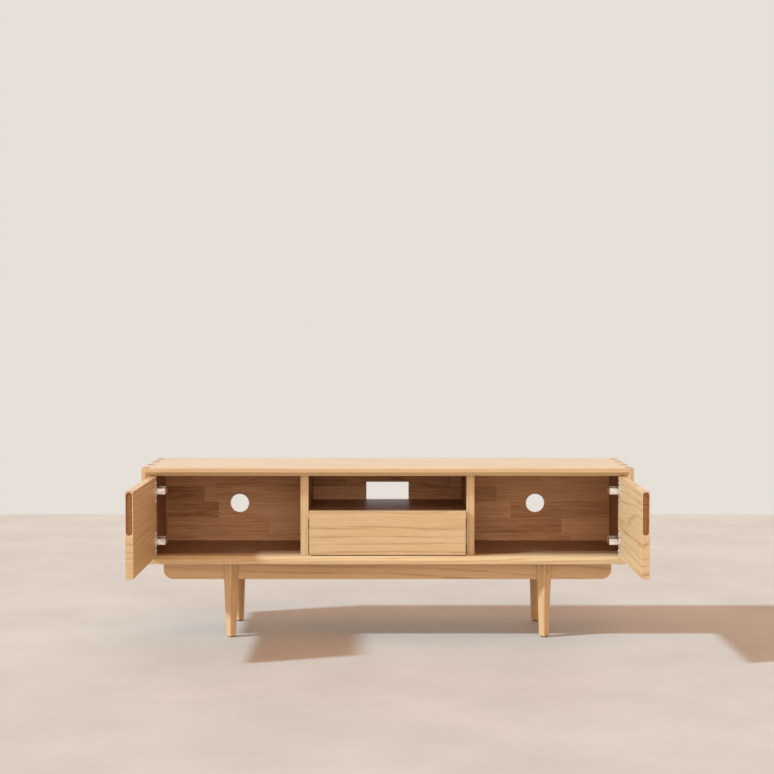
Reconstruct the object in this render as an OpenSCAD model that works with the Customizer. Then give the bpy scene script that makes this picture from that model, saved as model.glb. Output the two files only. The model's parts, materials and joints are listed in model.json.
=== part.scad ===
// Low oak media stand: a finger-jointed carcass on a four-legged base, two inset doors
// on concealed hinges, and a drawer under an open niche.
// Frame: +X to the right, +Y from the front to the back, +Z up, z = 0 on the floor.
// The origin lies midway between the open doors' free edges and the back face.

/* [Carcass] */
// Outside width
carcass_w = 1500; // [1440:10:1800]
// Outside depth
carcass_d = 400; // [360:5:460]
// Outside height, without the base
carcass_h = 293; // [280:1:360]
// Thickness of the top, bottom, sides, dividers and shelf
panel_t = 24; // [20:1:28]
// Clear width between the two dividers
niche_w = 485; // [440:5:560]
// Thickness of the back panel
back_t = 10; // [8:1:12]
// Height of the shelf's upper face above the carcass floor
shelf_rise = 135; // [125:1:150]

/* [Base] */
// Height of the carcass above the floor
leg_h = 232; // [180:1:300]
// Distance of each leg's axis from the centre plane
leg_x = 482.5; // [440:0.5:560]
// Distance of each leg's axis from the front or back face
leg_setback = 56; // [50:1:80]
// Length of the front and back aprons
apron_w = 1380; // [1300:10:1400]
// Height of the aprons
apron_h = 54; // [46:1:70]

/* [Doors and drawer] */
// Thickness of the doors and the drawer front
door_t = 22; // [20:1:24]
// Height of the drawer front
drawer_front_h = 134; // [128:1:140]
// Length of the drawer slides
slide_l = 300; // [250:10:300]

/* [Openings] */
// Diameter of the cable holes in the back
cable_hole_d = 60; // [50:1:80]
// Distance of each cable hole from the centre plane
cable_hole_x = 483.5; // [440:0.5:520]
// Width of the cable cut-out behind the niche
cutout_w = 138; // [100:1:200]
// Height of the cable cut-out
cutout_h = 57; // [40:1:70]

/* [Hidden] */

// Circles are fine enough to stay true bores.
$fn = 48;
// Overshoot of cutting tools past a face
cut = 1;

// Colours
oak = "#dcb98a";
oak_light = "#e6cba6";
oak_dark = "#b8875c";
nickel = "#d9dadb";
zinc = "#b9bcc0";
dark = "#2a2826";

// Carcass planes
half_w = carcass_w / 2;
inner_x = half_w - panel_t;
floor_z = leg_h + panel_t;
top_z = leg_h + carcass_h;
ceiling_z = top_z - panel_t;

// Finger joints at the four corners
finger_count = 7;
finger_w = carcass_d / finger_count;

// The front edges carry a flat band, then a 45 degree flare down to the opening.
front_band = panel_t / 2;
flare = panel_t - front_band;

// Doors close flush with the inner end of the flare.
door_gap_side = 2;
door_gap_z = 1;
door_gap_niche = 3;
stop_gap = 1;
drawer_gap_x = 3.5;
drawer_front_w = niche_w - 2 * drawer_gap_x;
drawer_gap_z = 3;
door_w = inner_x - door_gap_side - drawer_front_w / 2 - door_gap_niche;
door_h = ceiling_z - floor_z - 2 * door_gap_z;
door_x0 = -inner_x + door_gap_side;
door_z0 = floor_z + door_gap_z;

// One vertical axis per door stands for its concealed hinges' linkage.
// It lies just outside the door's front corner, at the inner end of the flare.
pivot_out_x = 3.25;
pivot_out_y = 1.75;
door_rest_angle = 90;
// How far an open door's free edge stands in front of the carcass
door_reach = door_w + pivot_out_x + pivot_out_y - flare;

// The carcass front plane, which centres the open stand on y = 0
front_y = (door_reach - carcass_d) / 2;
back_y = front_y + carcass_d;
door_y0 = front_y + flare;
door_y1 = door_y0 + door_t;
divider_y0 = door_y1 + stop_gap;
back_inner_y = back_y - back_t;
pivot_x = door_x0 - pivot_out_x;
pivot_y = door_y0 - pivot_out_y;

// Back panel rebate and its screws
rebate_w = 8;
back_screw_r = 1.5;
back_screw_head_r = 3;
back_screw_head_h = 1.6;
back_screw_l = 22;
back_screw_x = [-600, -360, 360, 600];
// Shares of the clear height at which screws enter the sides and the dividers
side_screw_shares = [0.2, 0.5, 0.8];
divider_screw_shares = [0.25, 0.75];

// Shelf
divider_x = niche_w / 2;
shelf_z = floor_z + shelf_rise;
shelf_end_w = 50;
dowel_r = 4;
dowel_l = 30;
dowel_in_panel = 12;
// Shares of the dividers' depth at which the dowels stand
dowel_shares = [0.15, 0.5, 0.85];

// Finger pull: a cove routed into the door's free edge, beside the niche
pull_r = 8.5;
pull_lip = 2;
pull_straight = 5;
pull_top_margin = 2;
pull_below_shelf = 12.5;

// Concealed hinges, measured from the side's inner face and the door's inner face
hinge_offset_z = 77;
cup_r = 17.5;
cup_wall = 1;
cup_depth = 11.5;
cup_inset = 22;
cup_rim_r = 20;
cup_rim_t = 1.2;
cup_wing_h = 68;
cup_wing_w = 22;
cup_screw_z = 26;
cup_screw_r = 1.75;
cup_screw_l = 14;
link_pin_depth = 5;
link_pin_r = 1.5;
link_pin_clearance = 0.05;
link_leg = 12;
link_strap = 3;
link_body_x0 = 8.5;
link_body_w = 24.5;
link_body_y0 = 8;
link_l = 62;
link_half_h = 6;
link_body_half_h = 9;
arm_x0 = 12;
arm_reach = 45;
arm_wall = 1.2;
arm_half_h = 10.5;
arm_y0 = 38;
arm_l = 44;
plate_t = 3;
plate_y0 = 50;
plate_l = 38;
plate_block_half_h = 8;
plate_wing_l = 14;
plate_wing_h = 52;
plate_screw_z = 18;
plate_screw_r = 2;
plate_screw_l = 15;
screw_head_h = 1.8;

// Drawer
drawer_side_t = 12;
slide_t = 12.7;
drawer_overrun = 20;
drawer_lift = 12;
drawer_w = niche_w - 2 * slide_t;
drawer_l = slide_l + drawer_overrun;
drawer_z0 = floor_z + drawer_lift;
drawer_side_h = 85;
drawer_bottom_t = 6;
drawer_bottom_rise = 8;
drawer_bottom_z = drawer_z0 + drawer_bottom_rise;
drawer_front_z0 = floor_z + drawer_gap_z;
groove_depth = 6;
drawer_dowel_r = 3;
drawer_dowel_l = 24;
drawer_dowel_rise = 26;
drawer_dowel_drop = 14;

// Telescopic slides: three nested channels on each side
// Each channel's place is the distance of its web or lips from the divider.
slide_z = drawer_z0 + drawer_side_h / 2;
slide_setback = 8;
slide_y0 = divider_y0 + slide_setback;
slide_sheet = 1.2;
slide_outer_depth = 10;
slide_outer_half_h = 22.5;
slide_middle_x = 3.4;
slide_middle_depth = 6.4;
slide_middle_half_h = 18;
slide_middle_inset = 5;
slide_inner_x = 5.2;
slide_inner_half_h = 13;
slide_screw_r = 1.75;
slide_screw_head_r = 3.5;
slide_screw_l = 12;
slide_inner_screw_l = 10;
slide_screw_inset = 40;

// Base
apron_t = 18;
apron_corner_r = 30;
apron_behind_axis = 1;
apron_front_y = front_y + leg_setback + apron_behind_axis;
apron_back_y = back_y - leg_setback - apron_behind_axis;
cross_rail_x = leg_x - 52.5;
cross_rail_h = 44;
glide_h = 3;
glide_r = 10;
leg_side = 35.5;
leg_corner_r = 5;
leg_foot_scale = 0.65;
leg_screw_r = 2.5;
leg_screw_head_r = 5;
leg_screw_head_h = 3;
leg_screw_l = 32;
leg_screw_drops = [15, 39];
frame_screw_r = 2.5;
frame_screw_head_r = 5;
frame_counterbore = 26;
frame_screw_l = 44;
frame_screw_x = [-600, -200, 200, 600];

// Shape helpers

module block(x0, x1, y0, y1, z0, z1) {
    translate([x0, y0, z0]) cube([x1 - x0, y1 - y0, z1 - z0]);
}

// A cylinder that starts at a point and runs along +Y
module rod_y(x, y, z, r, l) {
    translate([x, y, z]) rotate([-90, 0, 0]) cylinder(r = r, h = l);
}

// A cylinder that starts at a point and runs along +X
module rod_x(x, y, z, r, l) {
    translate([x, y, z]) rotate([0, 90, 0]) cylinder(r = r, h = l);
}

// Everything with a left and a right version is drawn on the left and mirrored.
module on_side(side) {
    mirror([side == "right" ? 1 : 0, 0, 0]) children();
}

// Draws a closed left door's parts where they lie with the door open at rest.
module door_at_rest() {
    translate([pivot_x, pivot_y, 0])
        rotate([0, 0, -door_rest_angle])
            translate([-pivot_x, -pivot_y, 0]) children();
}

function hinge_heights() = [
    door_z0 + door_h / 2 - hinge_offset_z,
    door_z0 + door_h / 2 + hinge_offset_z
];

// Carcass

// Space of the opening and its flared mouth: the overlap of two trapezoid prisms
module opening_flare() {
    height = ceiling_z - floor_z;
    middle_z = (ceiling_z + floor_z) / 2;
    wide = inner_x + flare + cut;
    tall = height / 2 + flare + cut;
    intersection() {
        translate([0, front_y, leg_h])
            linear_extrude(carcass_h)
                polygon([[-wide, -cut], [wide, -cut], [inner_x, flare], [-inner_x, flare]]);
        translate([-half_w, front_y, middle_z])
            rotate([90, 0, 90])
                linear_extrude(carcass_w)
                    polygon([[-cut, -tall], [flare, -height / 2], [flare, height / 2], [-cut, tall]]);
    }
}

module back_rebate() {
    block(-inner_x - rebate_w, inner_x + rebate_w, back_inner_y, back_y + cut,
          floor_z - rebate_w, ceiling_z + rebate_w);
}

// Of the seven finger slots counted from the front, the side's fingers fill the
// first and every second one after it, and the wide panels' fingers fill the others.
module side_fingers(z0) {
    for (i = [0 : 2 : finger_count - 1]) {
        y0 = i == 0 ? front_y - cut : front_y + i * finger_w;
        y1 = i == finger_count - 1 ? back_y + cut : front_y + (i + 1) * finger_w;
        block(-half_w - cut, -inner_x, y0, y1, z0, z0 + panel_t + 2 * cut);
    }
}

module panel_fingers(z0) {
    for (i = [1 : 2 : finger_count - 1])
        block(-half_w - cut, -inner_x + cut,
              front_y + i * finger_w, front_y + (i + 1) * finger_w,
              z0, z0 + panel_t + cut);
}

function back_screw_points() = concat(
    [for (x = [-inner_x - rebate_w / 2, inner_x + rebate_w / 2], f = side_screw_shares)
        [x, floor_z + f * (ceiling_z - floor_z)]],
    [for (x = back_screw_x, z = [floor_z - rebate_w / 2, ceiling_z + rebate_w / 2])
        [x, z]],
    [for (x = [-divider_x - panel_t / 2, divider_x + panel_t / 2], f = divider_screw_shares)
        [x, floor_z + f * (ceiling_z - floor_z)]]
);

module back_screws() {
    for (p = back_screw_points()) {
        rod_y(p[0], back_y - back_screw_l, p[1], back_screw_r, back_screw_l - back_screw_head_h);
        rod_y(p[0], back_y - back_screw_head_h, p[1], back_screw_head_r, back_screw_head_h);
    }
}

function divider_dowel_y() = [for (f = dowel_shares)
    divider_y0 + f * (back_inner_y - divider_y0)];

module divider_dowel_set() {
    for (x = [-divider_x - panel_t / 2, divider_x + panel_t / 2], y = divider_dowel_y()) {
        translate([x, y, floor_z - dowel_in_panel]) cylinder(r = dowel_r, h = dowel_l);
        translate([x, y, ceiling_z + dowel_in_panel - dowel_l]) cylinder(r = dowel_r, h = dowel_l);
    }
}

module shelf_dowel_set() {
    for (side = ["left", "right"], y = divider_dowel_y())
        on_side(side)
            rod_x(-divider_x - dowel_in_panel, y, shelf_z - panel_t / 2, dowel_r, dowel_l);
}

module frame_screw_set() {
    for (x = frame_screw_x, y = [apron_front_y + apron_t / 2, apron_back_y - apron_t / 2]) {
        z0 = leg_h - apron_h + frame_counterbore;
        translate([x, y, z0]) cylinder(r = frame_screw_r, h = frame_screw_l);
        translate([x, y, z0 - leg_screw_head_h])
            cylinder(r = frame_screw_head_r, h = leg_screw_head_h);
    }
}

// The wide panel of the top or the bottom, before its holes
module wide_panel(z0) {
    difference() {
        block(-half_w, half_w, front_y, back_y, z0, z0 + panel_t);
        opening_flare();
        back_rebate();
        for (side = ["left", "right"])
            on_side(side) side_fingers(z0 - cut);
    }
}

module top_panel() {
    color(oak_light)
        difference() {
            wide_panel(ceiling_z);
            divider_dowel_set();
            back_screws();
        }
}

module bottom_panel() {
    color(oak)
        difference() {
            wide_panel(leg_h);
            divider_dowel_set();
            back_screws();
            frame_screw_set();
        }
}

module side_panel(side) {
    color(oak)
        on_side(side)
            difference() {
                block(-half_w, -inner_x, front_y, back_y, leg_h, top_z);
                opening_flare();
                back_rebate();
                for (z0 = [leg_h - cut, ceiling_z])
                    panel_fingers(z0);
                back_screws();
                plate_screw_set(cut);
            }
}

module divider(side) {
    color(oak)
        on_side(side)
            difference() {
                block(-divider_x - panel_t, -divider_x, divider_y0, back_inner_y, floor_z, ceiling_z);
                divider_dowel_set();
                shelf_dowel_set();
                back_screws();
                slide_outer_screw_set();
            }
}

module back_panel() {
    color(oak_dark)
        difference() {
            block(-inner_x - rebate_w, inner_x + rebate_w, back_inner_y, back_y,
                  floor_z - rebate_w, ceiling_z + rebate_w);
            for (x = [-cable_hole_x, cable_hole_x])
                rod_y(x, back_inner_y - cut, (floor_z + ceiling_z) / 2,
                      cable_hole_d / 2, back_t + 2 * cut);
            block(-cutout_w / 2, cutout_w / 2, back_inner_y - cut, back_y + cut,
                  shelf_z, shelf_z + cutout_h);
            back_screws();
        }
}

module shelf_board() {
    color(oak)
        block(-divider_x + shelf_end_w, divider_x - shelf_end_w, divider_y0, back_inner_y,
              shelf_z - panel_t, shelf_z);
}

module shelf_end(side) {
    color(oak)
        on_side(side)
            difference() {
                block(-divider_x, -divider_x + shelf_end_w, divider_y0, back_inner_y,
                      shelf_z - panel_t, shelf_z);
                shelf_dowel_set();
            }
}

module divider_dowels() {
    color(oak_light) divider_dowel_set();
}

module shelf_dowels() {
    color(oak_light) shelf_dowel_set();
}

module back_panel_screws() {
    color(zinc) back_screws();
}

// Base

module apron_board(y0) {
    z0 = leg_h - apron_h;
    half = apron_w / 2;
    difference() {
        translate([0, y0 + apron_t, 0])
            rotate([90, 0, 0])
                linear_extrude(apron_t)
                    intersection() {
                        translate([-half, z0]) square([apron_w, apron_h]);
                        union() {
                            translate([-half, z0 + apron_corner_r]) square([apron_w, apron_h]);
                            translate([-half + apron_corner_r, z0])
                                square([apron_w - 2 * apron_corner_r, apron_h]);
                            for (x = [-half + apron_corner_r, half - apron_corner_r])
                                translate([x, z0 + apron_corner_r]) circle(r = apron_corner_r);
                        }
                    }
        frame_screw_set();
        // Counterbores for the frame screws
        for (x = frame_screw_x)
            translate([x, y0 + apron_t / 2, z0 - cut])
                cylinder(r = frame_screw_head_r, h = frame_counterbore + cut);
        leg_screw_set();
    }
}

module front_apron() {
    color(oak) apron_board(apron_front_y);
}

module back_apron() {
    color(oak) apron_board(apron_back_y - apron_t);
}

module cross_rail(side) {
    color(oak)
        on_side(side)
            block(-cross_rail_x - apron_t / 2, -cross_rail_x + apron_t / 2,
                  apron_front_y + apron_t, apron_back_y - apron_t,
                  leg_h - cross_rail_h, leg_h);
}

// Section of a leg: a softened square set at 45 degrees
module leg_section(scale_down) {
    rotate(45)
        offset(r = leg_corner_r * scale_down, $fn = 32)
            square((leg_side - 2 * leg_corner_r) * scale_down, center = true);
}

// One front leg, with its back half cut away where the apron passes
module front_leg() {
    difference() {
        translate([-leg_x, front_y + leg_setback, glide_h])
            linear_extrude(leg_h - glide_h, scale = 1 / leg_foot_scale)
                leg_section(leg_foot_scale);
        block(-leg_x - leg_side, -leg_x + leg_side, apron_front_y, apron_front_y + leg_side,
              leg_h - apron_h, leg_h + cut);
        leg_screw_set();
    }
}

// Back legs are front legs turned to face the back.
module place_leg(side, row) {
    on_side(side)
        translate([0, row == "back" ? front_y + back_y : 0, 0])
            mirror([0, row == "back" ? 1 : 0, 0]) children();
}

module leg(side, row) {
    color(oak) place_leg(side, row) front_leg();
}

module foot_glides() {
    color(dark)
        for (side = ["left", "right"], row = ["front", "back"])
            place_leg(side, row)
                translate([-leg_x, front_y + leg_setback, 0]) cylinder(r = glide_r, h = glide_h);
}

module leg_screw_set() {
    for (side = ["left", "right"], row = ["front", "back"], drop = leg_screw_drops)
        place_leg(side, row) {
            head_y = apron_front_y + apron_t;
            rod_y(-leg_x, head_y - leg_screw_l, leg_h - drop, leg_screw_r, leg_screw_l);
            rod_y(-leg_x, head_y, leg_h - drop, leg_screw_head_r, leg_screw_head_h);
        }
}

module leg_screws() {
    color(zinc) leg_screw_set();
}

module frame_screws() {
    color(zinc) frame_screw_set();
}

// Doors and hinges

// Cove along the free edge: a rounded groove with ball ends, open to the edge
module finger_pull() {
    x = door_x0 + door_w - pull_straight;
    y = door_y0 + pull_lip + pull_r;
    z0 = shelf_z - pull_below_shelf + pull_r;
    z1 = door_z0 + door_h - pull_top_margin - pull_r;
    translate([x, y, z0]) cylinder(r = pull_r, h = z1 - z0);
    translate([x, y, z0]) sphere(r = pull_r);
    translate([x, y, z1]) sphere(r = pull_r);
    block(x, x + pull_straight + cut, y - pull_r, y + pull_r, z0, z1);
    for (z = [z0, z1])
        rod_x(x, y, z, pull_r, pull_straight + cut);
}

module cup_screw_holes() {
    for (z = hinge_heights(), dz = [-cup_screw_z, cup_screw_z])
        rod_y(door_x0 + cup_inset, door_y1 + cup_rim_t - cup_screw_l, z + dz,
              cup_screw_r, cup_screw_l + cut);
}

module door(side) {
    color(oak_light)
        on_side(side) door_at_rest()
            difference() {
                block(door_x0, door_x0 + door_w, door_y0, door_y1, door_z0, door_z0 + door_h);
                finger_pull();
                for (z = hinge_heights())
                    rod_y(door_x0 + cup_inset, door_y1 - cup_depth, z, cup_r, cup_depth + cut);
                cup_screw_holes();
            }
}

// Cup, rim and wings of one hinge, with the pin that its link turns on
module hinge_cup(z) {
    x = door_x0 + cup_inset;
    difference() {
        union() {
            rod_y(x, door_y1 - cup_depth, z, cup_r, cup_depth);
            rod_y(x, door_y1, z, cup_rim_r, cup_rim_t);
            block(x - cup_wing_w / 2, x + cup_wing_w / 2, door_y1, door_y1 + cup_rim_t,
                  z - cup_wing_h / 2, z + cup_wing_h / 2);
        }
        rod_y(x, door_y1 - cup_depth + cup_wall, z, cup_r - cup_wall, cup_depth + cut);
    }
    translate([x, door_y1 - link_pin_depth, z - cup_r + cup_wall / 2])
        cylinder(r = link_pin_r, h = 2 * cup_r - cup_wall);
}

module hinge_cups(side) {
    color(nickel)
        on_side(side) door_at_rest()
            difference() {
                for (z = hinge_heights())
                    hinge_cup(z);
                cup_screw_holes();
            }
}

module cup_screws(side) {
    head_y = door_y1 + cup_rim_t;
    color(zinc)
        on_side(side) door_at_rest()
            for (z = hinge_heights(), dz = [-cup_screw_z, cup_screw_z]) {
                rod_y(door_x0 + cup_inset, head_y - cup_screw_l, z + dz, cup_screw_r, cup_screw_l);
                rod_y(door_x0 + cup_inset, head_y, z + dz, 2 * cup_screw_r, screw_head_h);
            }
}

// Where a cup's pin stands when the door is open at rest
function pin_rest_x() = pivot_x + door_y1 - link_pin_depth - pivot_y;
function pin_rest_y() = pivot_y - (door_x0 + cup_inset - pivot_x);

// A bent strap on the cup's pin, then a straight bar that runs back into the arm
module hinge_link(z) {
    x = pin_rest_x();
    y = pin_rest_y();
    difference() {
        union() {
            block(x - link_strap, x + link_leg, y - link_strap, y + link_strap,
                  z - link_half_h, z + link_half_h);
            block(x + link_leg - link_strap, x + link_leg, y - link_strap, y + link_body_y0,
                  z - link_half_h, z + link_half_h);
            block(x + link_body_x0, x + link_body_x0 + link_body_w,
                  y + link_body_y0, y + link_l,
                  z - link_body_half_h, z + link_body_half_h);
        }
        translate([x, y, z - link_half_h - cut])
            cylinder(r = link_pin_r + link_pin_clearance, h = 2 * (link_half_h + cut));
    }
}

module hinge_links(side) {
    color(nickel)
        on_side(side)
            for (z = hinge_heights())
                hinge_link(z);
}

// Channel that the link slides in, open towards the compartment
module hinge_arm(z) {
    x0 = -inner_x + arm_x0;
    x1 = -inner_x + arm_reach;
    y0 = front_y + arm_y0;
    difference() {
        block(x0, x1, y0, y0 + arm_l, z - arm_half_h, z + arm_half_h);
        block(x0 + arm_wall, x1 + cut, y0 - cut, y0 + arm_l + cut,
              z - arm_half_h + arm_wall, z + arm_half_h - arm_wall);
    }
}

module hinge_arms(side) {
    color(nickel)
        on_side(side)
            for (z = hinge_heights())
                hinge_arm(z);
}

module plate_screw_set(head_gap) {
    for (z = hinge_heights(), dz = [-plate_screw_z, plate_screw_z]) {
        y = front_y + plate_y0 + plate_wing_l / 2;
        rod_x(-inner_x + plate_t - plate_screw_l, y, z + dz, plate_screw_r, plate_screw_l);
        rod_x(-inner_x + plate_t, y, z + dz, 2 * plate_screw_r, screw_head_h + head_gap);
    }
}

module hinge_plate(z) {
    y0 = front_y + plate_y0;
    difference() {
        union() {
            block(-inner_x, -inner_x + plate_t, y0, y0 + plate_wing_l,
                  z - plate_wing_h / 2, z + plate_wing_h / 2);
            block(-inner_x, -inner_x + arm_x0, y0, y0 + plate_l,
                  z - plate_block_half_h, z + plate_block_half_h);
        }
        plate_screw_set(cut);
    }
}

module hinge_plates(side) {
    color(nickel)
        on_side(side)
            for (z = hinge_heights())
                hinge_plate(z);
}

module plate_screws(side) {
    color(zinc) on_side(side) plate_screw_set(0);
}

// Drawer

module drawer_dowel_set() {
    for (side = ["left", "right"], z = [drawer_z0 + drawer_dowel_rise,
                                   drawer_z0 + drawer_side_h - drawer_dowel_drop])
        on_side(side)
            rod_y(-drawer_w / 2 + drawer_side_t / 2, door_y1 - drawer_dowel_l / 2, z,
                  drawer_dowel_r, drawer_dowel_l);
}

module drawer_bottom_board() {
    block(-drawer_w / 2 + drawer_side_t - groove_depth, drawer_w / 2 - drawer_side_t + groove_depth,
          door_y1 - groove_depth, door_y1 + drawer_l,
          drawer_bottom_z, drawer_bottom_z + drawer_bottom_t);
}

module drawer_front() {
    color(oak)
        difference() {
            block(-drawer_front_w / 2, drawer_front_w / 2, door_y0, door_y1,
                  drawer_front_z0, drawer_front_z0 + drawer_front_h);
            drawer_bottom_board();
            drawer_dowel_set();
        }
}

module drawer_side(side) {
    color(oak_light)
        on_side(side)
            difference() {
                block(-drawer_w / 2, -drawer_w / 2 + drawer_side_t, door_y1, door_y1 + drawer_l,
                      drawer_z0, drawer_z0 + drawer_side_h);
                drawer_bottom_board();
                drawer_dowel_set();
                slide_inner_screw_set();
            }
}

module drawer_back() {
    color(oak_light)
        block(-drawer_w / 2 + drawer_side_t, drawer_w / 2 - drawer_side_t,
              door_y1 + drawer_l - drawer_side_t, door_y1 + drawer_l,
              drawer_bottom_z + drawer_bottom_t, drawer_z0 + drawer_side_h);
}

module drawer_bottom() {
    color(oak_light) drawer_bottom_board();
}

module drawer_front_dowels() {
    color(oak_light) drawer_dowel_set();
}

// A channel of bent sheet: x0 is its web's face, depth runs to its lips
module slide_channel(x0, depth, half_h, y0, l, open_to_drawer) {
    inside = open_to_drawer ? x0 + slide_sheet : x0 - cut;
    difference() {
        block(x0, x0 + depth, y0, y0 + l, slide_z - half_h, slide_z + half_h);
        block(inside, inside + depth - slide_sheet + cut, y0 - cut, y0 + l + cut,
              slide_z - half_h + slide_sheet, slide_z + half_h - slide_sheet);
    }
}

function slide_screw_y() = [slide_y0 + slide_screw_inset, slide_y0 + slide_l - slide_screw_inset];

module slide_outer_screw_set() {
    for (side = ["left", "right"], y = slide_screw_y())
        on_side(side) {
            rod_x(-divider_x + slide_sheet - slide_screw_l, y, slide_z, slide_screw_r, slide_screw_l);
            rod_x(-divider_x + slide_sheet, y, slide_z, slide_screw_head_r, screw_head_h);
        }
}

module slide_inner_screw_set() {
    for (side = ["left", "right"], y = slide_screw_y())
        on_side(side) {
            x = -drawer_w / 2 - slide_sheet;
            rod_x(x, y, slide_z, slide_screw_r, slide_inner_screw_l);
            rod_x(x - screw_head_h, y, slide_z, slide_screw_head_r, screw_head_h);
        }
}

module slide_outer(side) {
    color(zinc)
        on_side(side)
            difference() {
                slide_channel(-divider_x, slide_outer_depth, slide_outer_half_h,
                              slide_y0, slide_l, true);
                slide_outer_screw_set();
            }
}

module slide_middle(side) {
    color(zinc)
        on_side(side)
            slide_channel(-divider_x + slide_middle_x, slide_middle_depth, slide_middle_half_h,
                          slide_y0 + slide_middle_inset, slide_l - 2 * slide_middle_inset, true);
}

module slide_inner(side) {
    color(zinc)
        on_side(side)
            difference() {
                slide_channel(-divider_x + slide_inner_x, slide_t - slide_inner_x, slide_inner_half_h,
                              slide_y0, slide_l, false);
                slide_inner_screw_set();
            }
}

module slide_screws_outer() {
    color(zinc) slide_outer_screw_set();
}

module slide_screws_inner() {
    color(zinc) slide_inner_screw_set();
}

top_panel();
bottom_panel();
side_panel("left");  // side_panel_left
side_panel("right");  // side_panel_right
divider("left");  // divider_left
divider("right");  // divider_right
back_panel();
shelf_board();
shelf_end("left");  // shelf_end_left
shelf_end("right");  // shelf_end_right
divider_dowels();
shelf_dowels();
back_panel_screws();
front_apron();
back_apron();
cross_rail("left");  // cross_rail_left
cross_rail("right");  // cross_rail_right
leg("left", "front");  // leg_front_left
leg("right", "front");  // leg_front_right
leg("left", "back");  // leg_back_left
leg("right", "back");  // leg_back_right
foot_glides();
leg_screws();
frame_screws();
door("left");  // door_left
door("right");  // door_right
hinge_cups("left");  // hinge_cups_left
hinge_cups("right");  // hinge_cups_right
cup_screws("left");  // cup_screws_left
cup_screws("right");  // cup_screws_right
hinge_links("left");  // hinge_links_left
hinge_links("right");  // hinge_links_right
hinge_arms("left");  // hinge_arms_left
hinge_arms("right");  // hinge_arms_right
hinge_plates("left");  // hinge_plates_left
hinge_plates("right");  // hinge_plates_right
plate_screws("left");  // plate_screws_left
plate_screws("right");  // plate_screws_right
drawer_front();
drawer_side("left");  // drawer_side_left
drawer_side("right");  // drawer_side_right
drawer_back();
drawer_bottom();
drawer_front_dowels();
slide_outer("left");  // slide_outer_left
slide_outer("right");  // slide_outer_right
slide_middle("left");  // slide_middle_left
slide_middle("right");  // slide_middle_right
slide_inner("left");  // slide_inner_left
slide_inner("right");  // slide_inner_right
slide_screws_outer();
slide_screws_inner();
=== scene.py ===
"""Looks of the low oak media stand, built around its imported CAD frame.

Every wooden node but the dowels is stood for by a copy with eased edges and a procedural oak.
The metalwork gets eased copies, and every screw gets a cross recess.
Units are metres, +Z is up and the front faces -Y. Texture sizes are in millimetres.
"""

import json
import math

import bmesh
import bpy
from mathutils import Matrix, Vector


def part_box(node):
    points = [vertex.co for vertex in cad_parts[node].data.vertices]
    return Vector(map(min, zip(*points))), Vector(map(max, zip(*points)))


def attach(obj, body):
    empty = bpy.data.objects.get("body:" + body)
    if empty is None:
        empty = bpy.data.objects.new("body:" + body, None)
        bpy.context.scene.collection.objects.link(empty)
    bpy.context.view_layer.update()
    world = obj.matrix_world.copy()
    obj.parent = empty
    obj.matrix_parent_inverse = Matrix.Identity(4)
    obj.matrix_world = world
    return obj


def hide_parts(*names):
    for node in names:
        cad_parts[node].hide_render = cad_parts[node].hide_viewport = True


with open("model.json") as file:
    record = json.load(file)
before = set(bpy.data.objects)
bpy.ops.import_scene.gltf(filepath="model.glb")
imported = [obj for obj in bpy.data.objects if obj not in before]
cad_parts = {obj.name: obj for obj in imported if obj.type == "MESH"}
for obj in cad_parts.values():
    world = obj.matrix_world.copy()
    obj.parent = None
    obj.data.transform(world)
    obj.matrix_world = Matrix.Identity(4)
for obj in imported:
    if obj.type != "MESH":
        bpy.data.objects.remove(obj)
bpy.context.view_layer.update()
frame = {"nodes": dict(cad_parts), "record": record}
NODES = frame["nodes"]
BODY_OF = {
    node: body
    for body, members in frame["record"]["behaviour"]["bodies"].items()
    for node in members
}
MM = 0.001

# Most of a noise pattern's values lie in this span
NOISE_SPAN = (0.3, 0.7)

# Places read from the frame
FRONT_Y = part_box("top_panel")[0].y
BACK_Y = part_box("top_panel")[1].y
CARCASS_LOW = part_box("bottom_panel")[0]
CARCASS_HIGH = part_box("top_panel")[1]
DIVIDER_LOW, DIVIDER_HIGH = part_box("divider_left")
INSIDE = (
    Vector((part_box("side_panel_left")[1].x, DIVIDER_LOW.y, DIVIDER_LOW.z)),
    Vector((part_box("side_panel_right")[0].x, BACK_Y, DIVIDER_HIGH.z)),
)

# Camera
CAMERA_DISTANCE = 5.155
CAMERA_X = -0.0015
CAMERA_HEIGHT = 0.959
CAMERA_PITCH = 0.0361
CAMERA_LENS = 79.0

# Light. The wall is what the camera sees; the other colours light the object.
SUN_DIRECTION = (1.25, 0.47, -1.0)
SUN_STRENGTH = 3.0
SUN_COLOUR = (0.79, 1.05, 1.24)
SUN_SPREAD = math.radians(4)
WALL_COLOUR = (0.79, 0.745, 0.69)
AMBIENT_COLOUR = (0.90, 0.53, 0.345)
BACKDROP_COLOUR = (0.90, 0.90, 0.88)
SOFTBOX_COLOUR = (2.2, 2.0, 1.85)
SOFTBOX_DIRECTION = (0.0, -0.95, 0.31)
SOFTBOX_FADE = (0.90, 0.96)
BACKDROP_FADE = (0.45, 0.85)
FLOOR_COLOUR = (0.52, 0.50, 0.455)
FLOOR_REACH = 3.45
FLOOR_HALF_WIDTH = 9.0
FLOOR_NEAR = 8.0
FLOOR_CLOUDS = 0.0022
FLOOR_SHADES = (0.93, 1.05)
FLOOR_ROUGHNESS = 0.7

# Edge easing
WELD = 1e-6
FLAT_ANGLE = math.radians(1)
SHARP_ANGLE = math.radians(25)
LARGEST_RADIUS = 1.5 * MM
DRILL_FACET = 2 * MM
SQUARE_ON = 0.99
OUTER_RADIUS = 1.3 * MM
INNER_RADIUS = 0.5 * MM
GLUE_LINE = 0.12 * MM
ON_PLANE = 0.02 * MM
EASED = "eased"

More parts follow.
